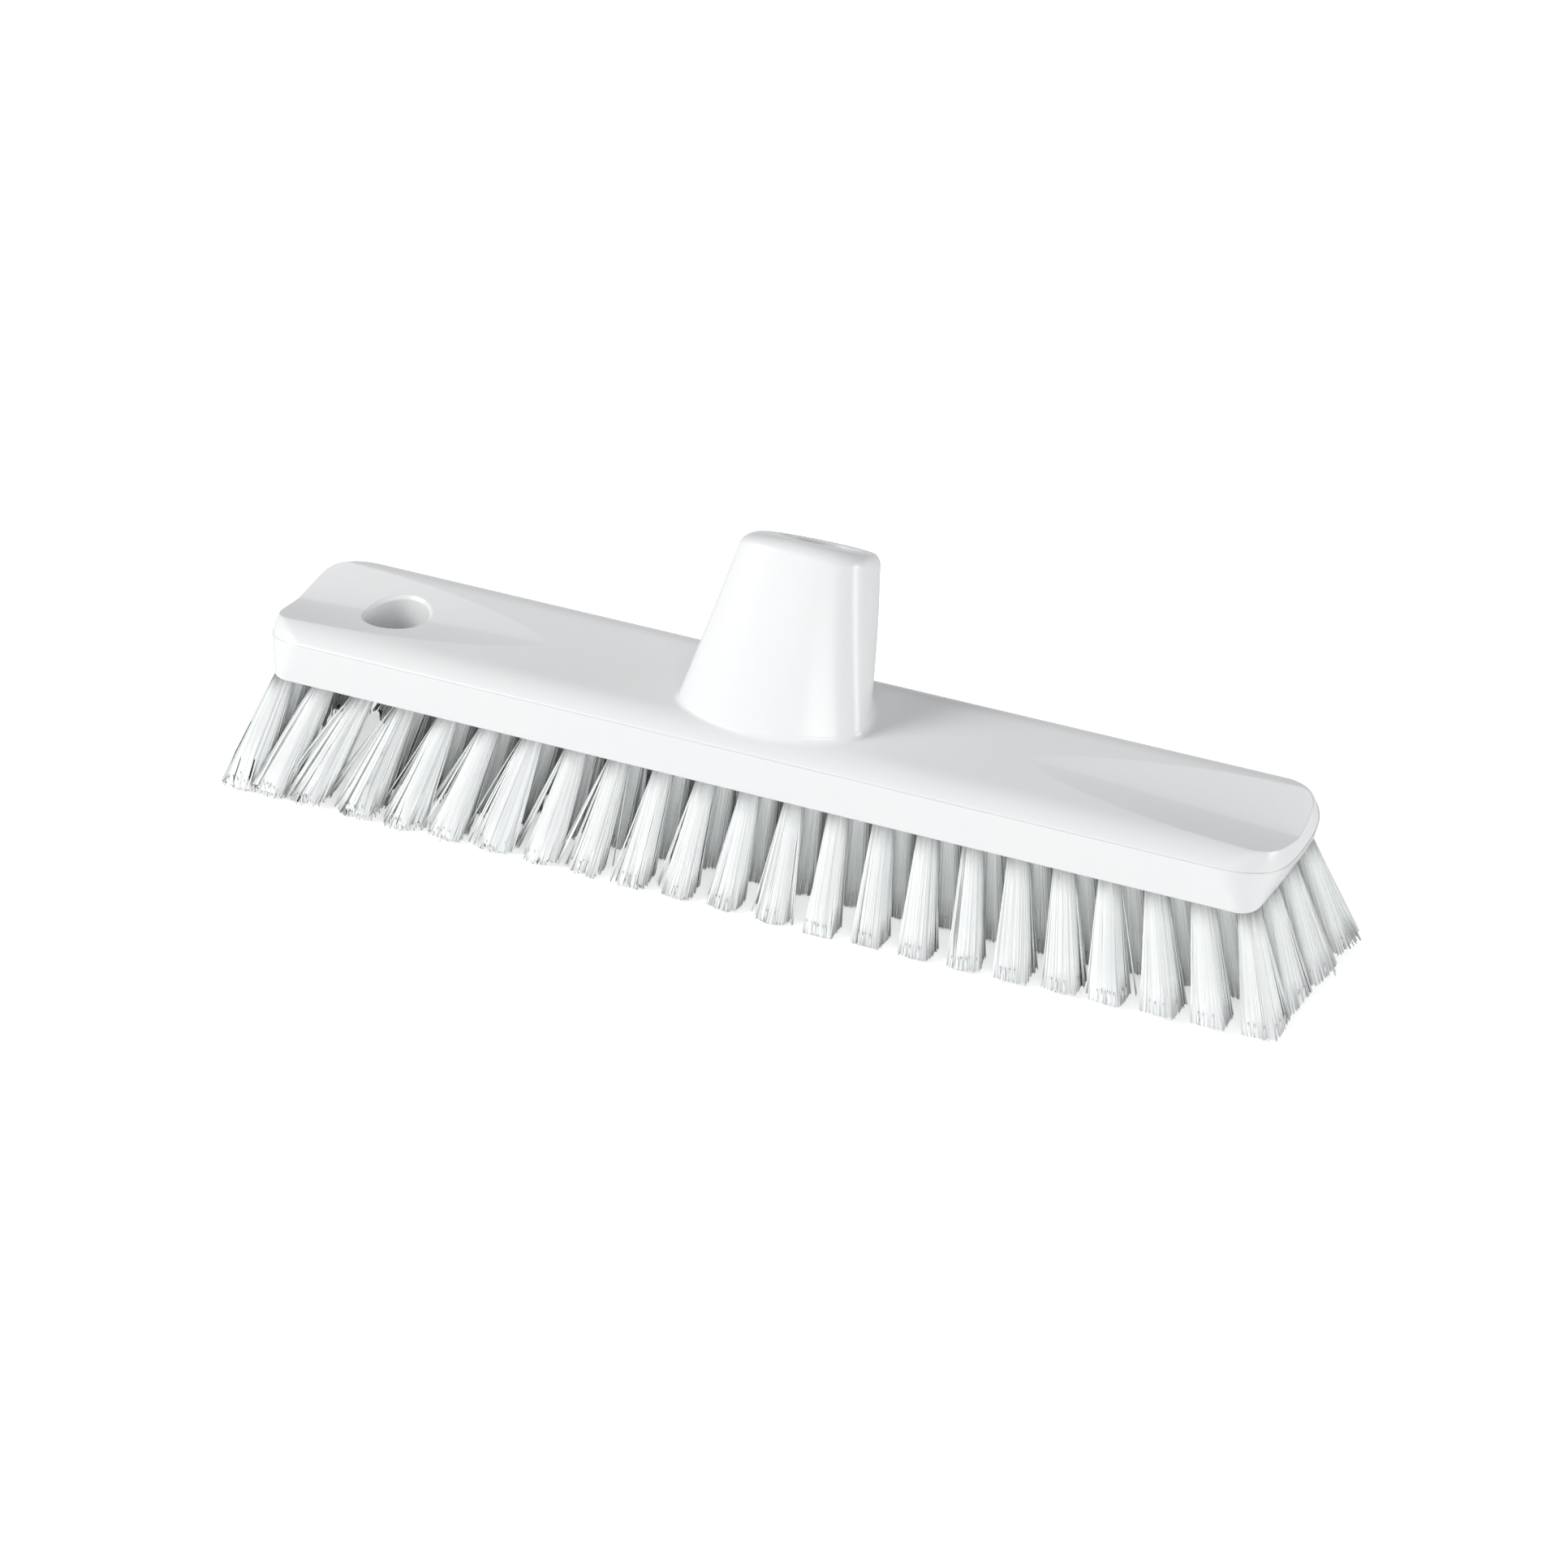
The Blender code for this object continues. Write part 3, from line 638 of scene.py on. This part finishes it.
def build_block(material):
    """The block and its socket as one fine moulding, in place of their solids."""
    block = add_object("moulded_block", lofted_mesh("moulded_block", [block_rings()]), material)
    tools = [("UNION", [socket_rings()]), ("DIFFERENCE", [scoop_rings(-1), scoop_rings(1)]),
             ("DIFFERENCE", [bore_rings()]), ("DIFFERENCE", [hang_hole_rings()]),
             ("DIFFERENCE", tuft_hole_rings())]
    for index, (operation, stacks) in enumerate(tools):
        tool = add_object("tool_%d" % index, lofted_mesh("tool_%d" % index, stacks))
        modifier = block.modifiers.new("tool_%d" % index, "BOOLEAN")
        modifier.operation = operation
        modifier.solver = "EXACT"
        modifier.object = tool
    apply_modifiers(block)
    for index in range(len(tools)):
        bpy.data.objects.remove(bpy.data.objects["tool_%d" % index], do_unlink=True)
    block.data.transform(Matrix.Translation(SHIFT))
    block.data.shade_smooth()
    block.data.set_sharp_from_angle(angle=SHARP_ANGLE)
    weighted = block.modifiers.new("normals", "WEIGHTED_NORMAL")
    weighted.keep_sharp = True
    weighted.weight = NORMAL_WEIGHT
    apply_modifiers(block)
    return block


# Filaments


def wilder(pair, wild):
    """A calm tuft's value, plus what its wildness adds."""
    return pair[0] + pair[1] * wild


def scatter(rng, kind, wild, size=None):
    """Random offsets of a kind, wider in a wilder tuft."""
    return rng.normal(0, wilder(SPREADS[kind], wild), size)


def tip_outline(angle, turn, corners):
    """How far a tuft's flared end reaches in each direction: round at 2, squarer above."""
    across = np.abs(np.cos(angle - turn)) ** corners
    along = np.abs(np.sin(angle - turn)) ** corners
    return (across + along) ** (-1 / corners)


def tuft_form(column, x, y, rng):
    """What one tuft's filaments share: where it leans, how it flares and how its locks part."""
    t = column - MIDDLE_COLUMN
    wild = max(0.0, 1 - column / (2 * MIDDLE_COLUMN) / WILD_SHARE)
    right = min(1.0, max(0.0, t / RIGHT_FLARE_COLUMNS))
    flare = FLARE + WILD_FLARE * wild + RIGHT_FLARE * right + scatter(rng, "flare", wild)
    room = [[corner[axis] - SHIFT[axis] - place for axis, place in enumerate((x, y))]
            for corner in CAD_BOX]
    lean = COLUMN_LEAN * t + WHOLE_LEAN + scatter(rng, "lean", wild)
    lean = min(max(lean, room[0][0] + FLARE_ROOM * flare), room[1][0] - FLARE_ROOM * flare)
    stretch = END_STRETCH if abs(t) == MIDDLE_COLUMN else 1.0
    side_lean = SIDE_LEAN * y / LAST_ROW + scatter(rng, "side_lean", wild)
    if t == MIDDLE_COLUMN:
        side_lean = max(side_lean, room[0][1] + stretch * flare)
    rise = max(0.0, (t - RISE_COLUMN) / (MIDDLE_COLUMN - RISE_COLUMN)) ** RISE_POWER
    return {"place": np.array([x, y]), "wild": wild, "room": np.array(room),
            "lean": np.array([lean, side_lean]), "flare": flare,
            "stretch": np.array([1.0, stretch]), "turn": scatter(rng, "turn", wild),
            "corners": CALM_CORNERS + (WILD_CORNERS - CALM_CORNERS) * wild,
            "phase": rng.uniform(0, 1), "lock_shift": scatter(rng, "lock_shift", wild, (LOCKS, 2)),
            "lock_rise": np.abs(scatter(rng, "lock_rise", wild, LOCKS)),
            "lock_bow": scatter(rng, "lock_bow", wild, (LOCKS, 2)),
            "rise": RIGHT_TRIM_RISE * rise}


def tuft_lock(form, angle):
    """Which of a tuft's outer locks lies in each direction."""
    return (np.floor(angle / math.tau * LOCKS + form["phase"]) % LOCKS).astype(int)


def within_box(points):
    """Points kept just inside the solids' box."""
    low = np.array(CAD_BOX[0]) - np.array(SHIFT)
    high = np.array(CAD_BOX[1]) - np.array(SHIFT)
    inside = FILAMENT_RADIUS * BOX_MARGIN
    return np.clip(points, low + inside * np.array([1, 1, 0.1]), high - inside)


def arch(t):
    """Height of an arch of height 1 at a share of the way along it."""
    return 4 * t * (1 - t)


def core_rings(form, rng):
    """Rings and facings of a tuft's packed filaments, with a flute between neighbours."""
    count = CORE_FLUTES * 2
    angle = np.arange(count) * 2 * math.pi / count
    outward = np.stack([np.cos(angle), np.sin(angle)], 1)
    lock = tuft_lock(form, angle)
    flute = np.where(np.arange(count) % 2 == 0, 1.0, 1 - FLUTE_DEPTH)
    flute = flute - np.repeat(FLUTE_VARIATION * rng.random(CORE_FLUTES), 2)
    reach = tip_outline(angle, form["turn"], form["corners"]) * flute
    tip = outward * (form["flare"] * reach)[:, None] * form["stretch"]
    tip += form["lock_shift"][lock] + form["lean"]
    root = outward * (TUFT_RADIUS * flute)[:, None]
    cut = np.repeat(np.abs(scatter(rng, "core_cut", form["wild"], CORE_FLUTES)), 2)
    low = form["rise"] + form["lock_rise"][lock] + CORE_RISE + cut
    top = UNDERSIDE + FILAMENT_START
    rings = []
    for level in range(CORE_LEVELS):
        t = level / (CORE_LEVELS - 1)
        plan = form["place"] + root + (tip - root) * t + form["lock_bow"][lock] * arch(t)
        height = top + (low - top) * t
        rings.append(within_box(np.concatenate([plan, height[:, None]], 1)))
    middle = rings[-1].mean(0)
    cap = middle + (rings[-1] - middle) * np.array(CORE_CAP_SHARE)
    rings.append(cap + np.array([0.0, 0.0, CORE_CAP_RISE]))
    side = np.stack([-np.sin(angle), np.cos(angle)], 1)
    turned = np.repeat(scatter(rng, "core_facing", form["wild"], CORE_FLUTES), 2)
    facing = np.concatenate([outward + side * turned[:, None], np.zeros((count, 1))], 1)
    return rings, facing / np.linalg.norm(facing, axis=1)[:, None]


def outer_paths(form, rng):
    """Roots, tips, bows and facings of the loose filaments that lie on the outside of a tuft."""
    wild = form["wild"]
    count = OUTER_FILAMENTS
    angle = (np.arange(count) + rng.uniform(0, 1, count)) * math.tau / count
    unit = np.stack([np.cos(angle), np.sin(angle)], 1)
    lock = tuft_lock(form, angle)
    reach = tip_outline(angle, form["turn"], form["corners"])[:, None]
    reach = reach * rng.uniform(*OUTER_REACH, (count, 1))
    tip = unit * form["flare"] * reach * form["stretch"]
    tip += scatter(rng, "outer_tip", wild, (count, 2)) + form["lock_shift"][lock] + form["lean"]
    height = form["rise"] + form["lock_rise"][lock]
    height += np.abs(scatter(rng, "outer_cut", wild, count))
    root = unit * (TUFT_RADIUS - FILAMENT_RADIUS)
    bow = form["lock_bow"][lock] + scatter(rng, "outer_bow", wild, (count, 2))
    return root, tip, height, bow, unit


def end_paths(form, rng):
    """The same for the cut ends that fill the middle of a tuft's end."""
    count = END_FILAMENTS
    order = np.arange(count) + 0.5
    radius = END_FILL * np.sqrt(order / count)
    angle = (order * GOLDEN_ANGLE) % math.tau
    unit = np.stack([radius * np.cos(angle), radius * np.sin(angle)], 1)
    reach = tip_outline(angle, form["turn"], form["corners"])[:, None]
    tip = unit * form["flare"] * reach * form["stretch"]
    tip += scatter(rng, "end_tip", form["wild"], (count, 2)) + form["lean"]
    height = form["rise"] + np.abs(scatter(rng, "end_cut", form["wild"], count))
    return tip * (1 - END_TAPER), tip, height, tip * 0, unit


def stray_paths(form, rng):
    """The same for the locks that stand off a tuft. Each leaves one spot at the root and fans out,
    mostly to the left."""
    wild = min(1.0, STRAY_WILDNESS * form["wild"])
    parts = []
    for _ in range(rng.poisson(wilder(STRAY_LOCKS, wild))):
        count = int(rng.integers(STRAY_LEAST, int(wilder(STRAY_MOST, wild))))
        is_left = rng.random() < wilder(STRAY_LEFT_CHANCE, wild)
        away = rng.uniform(*(STRAY_LEFT if is_left else STRAY_RIGHT))
        toward = np.array([math.cos(away), math.sin(away)])
        across = np.array([-toward[1], toward[0]])
        spread = (np.arange(count) - (count - 1) / 2)[:, None] * STRAY_SPACING
        root = toward * (TUFT_RADIUS - STRAY_ROOT_INSET) + across * spread * STRAY_ROOT_SPACING
        far = form["flare"] + rng.uniform(STRAY_REACH_LEAST, wilder(STRAY_REACH, wild))
        room = np.where(toward < 0, form["room"][0], form["room"][1]) - form["lean"]
        far = min(far, min(room / toward) - STRAY_MARGIN - STRAY_SPACING / 2 * count)
        tip = toward * far + across * spread
        tip = tip + scatter(rng, "stray_tip", wild, (count, 2)) + form["lean"]
        height = form["rise"] + rng.uniform(0, wilder(STRAY_LIFT, wild))
        height = height + np.abs(scatter(rng, "stray_cut", wild, count))
        bow = np.zeros((count, 2)) + scatter(rng, "stray_bow", wild, 2)
        parts.append((root, tip, height, bow, np.zeros((count, 2))))
    return parts


def loose_filaments(form, rng):
    """Roots, tips, bows and facings of all the single filaments of a tuft."""
    def placed(plan, height):
        return np.concatenate([form["place"] + plan, height[:, None]], 1)

    parts = [outer_paths(form, rng)] + stray_paths(form, rng)
    root, tip, height, bow, unit = (np.concatenate(group) for group in zip(*parts))
    end_root, end_tip, end_height, end_bow, end_unit = end_paths(form, rng)
    roots = placed(root, np.full(len(root), UNDERSIDE + FILAMENT_START))
    starts = within_box(placed(end_root, end_height + END_LENGTH))
    tips = within_box(placed(tip, height))
    ends = within_box(placed(end_tip, end_height))
    return (np.concatenate([roots, starts]), np.concatenate([tips, ends]),
            np.concatenate([bow, end_bow]), np.concatenate([unit, end_unit]))


def skin(base, sides, levels):
    """Faces of a closed tube of equal rings."""
    faces = []
    for level in range(levels - 1):
        a = base + level * sides
        for j in range(sides):
            k = (j + 1) % sides
            faces.append((a + j, a + sides + j, a + sides + k, a + k))
    last = base + (levels - 1) * sides
    faces.append(tuple(last + j for j in range(sides)))
    faces.append(tuple(base + j for j in reversed(range(sides))))
    return faces


def corner_normals(mesh, normals, ends):
    """Each corner's normal: its point's own one, but the face's at the cut ends."""
    corner_points = np.empty(len(mesh.loops), int)
    mesh.loops.foreach_get("vertex_index", corner_points)
    sizes = np.empty(len(mesh.polygons), int)
    mesh.polygons.foreach_get("loop_total", sizes)
    flat = np.empty(len(mesh.polygons) * 3)
    mesh.polygons.foreach_get("normal", flat)
    is_end = np.zeros(len(mesh.polygons), bool)
    is_end[ends] = True
    is_end = np.repeat(is_end, sizes)[:, None]
    return np.where(is_end, np.repeat(flat.reshape(-1, 3), sizes, 0), normals[corner_points])


def filament_mesh(name, column, places, rng):
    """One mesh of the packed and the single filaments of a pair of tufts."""
    verts, normals, faces, ends, tones = [], [], [], [], []
    base = 0
    sides = FILAMENT_SIDES
    turn = np.arange(sides) * math.tau / sides
    for x, y in places:
        form = tuft_form(column, x, y, rng)
        rings, facing = core_rings(form, rng)
        faces += skin(base, len(facing), len(rings))
        ends += range(len(faces) - len(facing) - 2, len(faces))
        flutes = np.repeat(rng.uniform(0, 1, CORE_FLUTES), 2)
        for ring in rings:
            verts.append(ring)
            normals.append(facing)
            tones.append(flutes)
        base += len(facing) * len(rings)
        roots, tips, bow, unit = loose_filaments(form, rng)
        for i in range(len(roots)):
            spin = rng.uniform(0, math.tau)
            ring = np.stack([np.cos(turn + spin), np.sin(turn + spin), np.zeros(sides)], 1)
            radius = FILAMENT_RADIUS * rng.uniform(*FILAMENT_THICKNESS)
            facing = ring * (1 - TUFT_SHEEN) + np.array([*unit[i], 0.0]) * TUFT_SHEEN
            facing /= np.linalg.norm(facing, axis=1)[:, None]
            for level in range(FILAMENT_LEVELS):
                t = level / (FILAMENT_LEVELS - 1)
                centre = roots[i] + (tips[i] - roots[i]) * t
                centre[:2] += bow[i] * arch(t)
                verts.append(centre + ring * radius)
                normals.append(facing)
            faces += skin(base, sides, FILAMENT_LEVELS)
            ends += range(len(faces) - 2, len(faces))
            tones.append(np.full(FILAMENT_LEVELS * sides, rng.uniform(0, 1)))
            base += FILAMENT_LEVELS * sides
    points = np.concatenate(verts) + np.array(SHIFT)
    mesh = bpy.data.meshes.new(name)
    mesh.from_pydata(points.tolist(), [], faces)
    tone = mesh.attributes.new("tone", "FLOAT", "POINT")
    tone.data.foreach_set("value", np.concatenate(tones).astype(np.float32))
    mesh.update()
    mesh.shade_smooth()
    mesh.normals_split_custom_set(corner_normals(mesh, np.concatenate(normals), ends).tolist())
    return mesh


def build_filaments(material):
    """Fine filaments in place of every pair of tufts' plain strands."""
    rng = np.random.default_rng(FILAMENT_SEED)
    half = TUFT_ROWS // 2
    for column in range(TUFT_COLUMNS):
        for name, rows in (("front", range(half)), ("rear", range(half, TUFT_ROWS))):
            label = "%s_%02d" % (name, column + 1)
            mesh = filament_mesh("filaments_" + label, column, tuft_places(column, rows), rng)
            piece = add_object("filaments_" + label, mesh, material)
            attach(piece, "root")
            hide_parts("tufts_" + label)


# Materials


def new_material(name, colour, roughness):
    """A principled material, its tree and its shader. Textures stand over the colour and roughness
    given here, which show where nodes aren't read."""
    material = bpy.data.materials.new(name)
    material.use_nodes = True
    tree = material.node_tree
    shader = tree.nodes["Principled BSDF"]
    shader.inputs["Base Color"].default_value = (*colour, 1.0)
    shader.inputs["Roughness"].default_value = roughness
    return material, tree, shader


def add_noise(tree, scale, detail, roughness=0.5):
    """Noise in object space."""
    place = tree.nodes.new("ShaderNodeTexCoord")
    noise = tree.nodes.new("ShaderNodeTexNoise")
    noise.inputs["Scale"].default_value = scale
    noise.inputs["Detail"].default_value = detail
    noise.inputs["Roughness"].default_value = roughness
    tree.links.new(place.outputs["Object"], noise.inputs["Vector"])
    return noise.outputs["Fac"]


def add_range(tree, value, low, high):
    """Map a 0 to 1 value to another range."""
    node = tree.nodes.new("ShaderNodeMapRange")
    node.inputs["To Min"].default_value = low
    node.inputs["To Max"].default_value = high
    tree.links.new(value, node.inputs["Value"])
    return node.outputs["Result"]


def add_ramp(tree, value, stops):
    """Colours along a value."""
    node = tree.nodes.new("ShaderNodeValToRGB")
    elements = node.color_ramp.elements
    for element, (place, colour) in zip(elements, stops):
        element.position = place
        element.color = (*colour, 1.0)
    tree.links.new(value, node.inputs["Fac"])
    return node.outputs["Color"]


def block_material():
    """White moulded polypropylene: satin gloss, with a faint mould grain and softened edges."""
    material, tree, shader = new_material("white_polypropylene", (0.87, 0.88, 0.88), 0.34)
    broad = add_noise(tree, 22.0, 3.0)
    colour = add_ramp(tree, broad, zip(BLOCK_COLOUR_STOPS, BLOCK_COLOURS))
    tree.links.new(colour, shader.inputs["Base Color"])
    roughness = add_range(tree, add_noise(tree, 60.0, 6.0, 0.65), *BLOCK_ROUGHNESS)
    tree.links.new(roughness, shader.inputs["Roughness"])
    bevel = tree.nodes.new("ShaderNodeBevel")
    bevel.samples = 6
    bevel.inputs["Radius"].default_value = BLOCK_EDGE_SOFTENING
    wave = tree.nodes.new("ShaderNodeBump")
    wave.inputs["Strength"].default_value = 0.06
    wave.inputs["Distance"].default_value = 0.0006
    tree.links.new(add_noise(tree, 45.0, 2.0), wave.inputs["Height"])
    tree.links.new(bevel.outputs["Normal"], wave.inputs["Normal"])
    grain = tree.nodes.new("ShaderNodeBump")
    grain.inputs["Strength"].default_value = 0.12
    grain.inputs["Distance"].default_value = 0.00004
    tree.links.new(add_noise(tree, 2600.0, 2.0), grain.inputs["Height"])
    tree.links.new(wave.outputs["Normal"], grain.inputs["Normal"])
    tree.links.new(grain.outputs["Normal"], shader.inputs["Normal"])
    shader.inputs["IOR"].default_value = 1.49
    shader.inputs["Subsurface Weight"].default_value = 0.08
    shader.inputs["Subsurface Radius"].default_value = (1.0, 0.95, 0.9)
    shader.inputs["Subsurface Scale"].default_value = 0.002
    return material


def filament_material():
    """Clear white filament: each one a little lighter or darker than the next."""
    material, tree, shader = new_material("clear_white_filament", (0.84, 0.87, 0.86), 0.36)
    tone = tree.nodes.new("ShaderNodeAttribute")
    tone.attribute_name = "tone"
    colour = add_ramp(tree, tone.outputs["Fac"], zip((0.0, 1.0), FILAMENT_COLOURS))
    tree.links.new(colour, shader.inputs["Base Color"])
    roughness = add_range(tree, add_noise(tree, 400.0, 2.0), *FILAMENT_ROUGHNESS)
    tree.links.new(roughness, shader.inputs["Roughness"])
    shader.inputs["IOR"].default_value = 1.50
    return material


# Stage


def build_stage():
    """A plain pale floor that keeps the shadow."""
    bm = bmesh.new()
    bmesh.ops.create_grid(bm, x_segments=8, y_segments=8, size=FLOOR_SIZE)
    mesh = bpy.data.meshes.new("floor")
    bm.to_mesh(mesh)
    bm.free()
    material = bpy.data.materials.new("floor_white")
    material.use_nodes = True
    tree = material.node_tree
    tree.nodes.clear()
    paint = tree.nodes.new("ShaderNodeBsdfDiffuse")
    paint.inputs["Color"].default_value = (*FLOOR_COLOUR, 1.0)
    path = tree.nodes.new("ShaderNodeLightPath")
    lift = tree.nodes.new("ShaderNodeEmission")
    lift.inputs["Color"].default_value = (1.0, 1.0, 1.0, 1.0)
    scale = tree.nodes.new("ShaderNodeMath")
    scale.operation = "MULTIPLY"
    scale.inputs[1].default_value = FLOOR_LIFT
    both = tree.nodes.new("ShaderNodeAddShader")
    out = tree.nodes.new("ShaderNodeOutputMaterial")
    tree.links.new(path.outputs["Is Camera Ray"], scale.inputs[0])
    tree.links.new(scale.outputs[0], lift.inputs["Strength"])
    tree.links.new(paint.outputs[0], both.inputs[0])
    tree.links.new(lift.outputs[0], both.inputs[1])
    tree.links.new(both.outputs[0], out.inputs["Surface"])
    floor = add_object("studio_floor", mesh, material)


def build_world():
    """Even white surroundings: a background at strength 1, and a much dimmer light."""
    world = bpy.data.worlds.new("studio")
    bpy.context.scene.world = world
    world.use_nodes = True
    tree = world.node_tree
    back = tree.nodes["Background"]
    back.inputs["Color"].default_value = (*WORLD_COLOUR, 1.0)
    path = tree.nodes.new("ShaderNodeLightPath")
    strength = add_range(tree, path.outputs["Is Camera Ray"], WORLD_LIGHT, 1.0)
    tree.links.new(strength, back.inputs["Strength"])


def add_area(name, place, size, power):
    """A square soft light aimed at the object."""
    data = bpy.data.lights.new(name, "AREA")
    data.shape = "SQUARE"
    data.size = size
    data.energy = power
    lamp = bpy.data.objects.new(name, data)
    lamp.location = place
    lamp.rotation_euler = (Vector(LIT_POINT) - Vector(place)).to_track_quat("-Z", "Y").to_euler()
    bpy.context.scene.collection.objects.link(lamp)


def build_camera():
    """The photo's viewing angle, seen from the front right and above with a long lens."""
    turned = Vector((math.sin(CAMERA_TURN), -math.cos(CAMERA_TURN), 0.0))
    right = Vector((math.cos(CAMERA_TURN), math.sin(CAMERA_TURN), 0.0))
    back = turned * math.cos(CAMERA_HEIGHT) + Vector((0.0, 0.0, math.sin(CAMERA_HEIGHT)))
    up = Vector((0.0, 0.0, math.cos(CAMERA_HEIGHT))) - turned * math.sin(CAMERA_HEIGHT)
    place = Vector(CAMERA_PLACE) + Vector((0.0, 0.0, UNDERSIDE)) + SHIFT
    data = bpy.data.cameras.new("camera")
    data.sensor_width = SENSOR_WIDTH
    data.lens = SENSOR_WIDTH * CAMERA_LENS_PIXELS / IMAGE_PIXELS
    data.clip_end = 20.0
    camera = bpy.data.objects.new("camera", data)
    rows = [(right[i], up[i], back[i], place[i]) for i in range(3)] + [(0.0, 0.0, 0.0, 1.0)]
    camera.matrix_world = Matrix(rows)
    bpy.context.scene.collection.objects.link(camera)
    bpy.context.scene.camera = camera


build_camera()
build_world()
build_stage()
for light in LIGHTS:
    add_area(*light)
moulded = build_block(block_material())
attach(moulded, "root")
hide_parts("brush_block", "handle_socket")
build_filaments(filament_material())
bpy.context.scene.view_settings.view_transform = "Standard"
bpy.context.scene.cycles.max_bounces = LIGHT_BOUNCES
bpy.context.scene.cycles.diffuse_bounces = LIGHT_BOUNCES
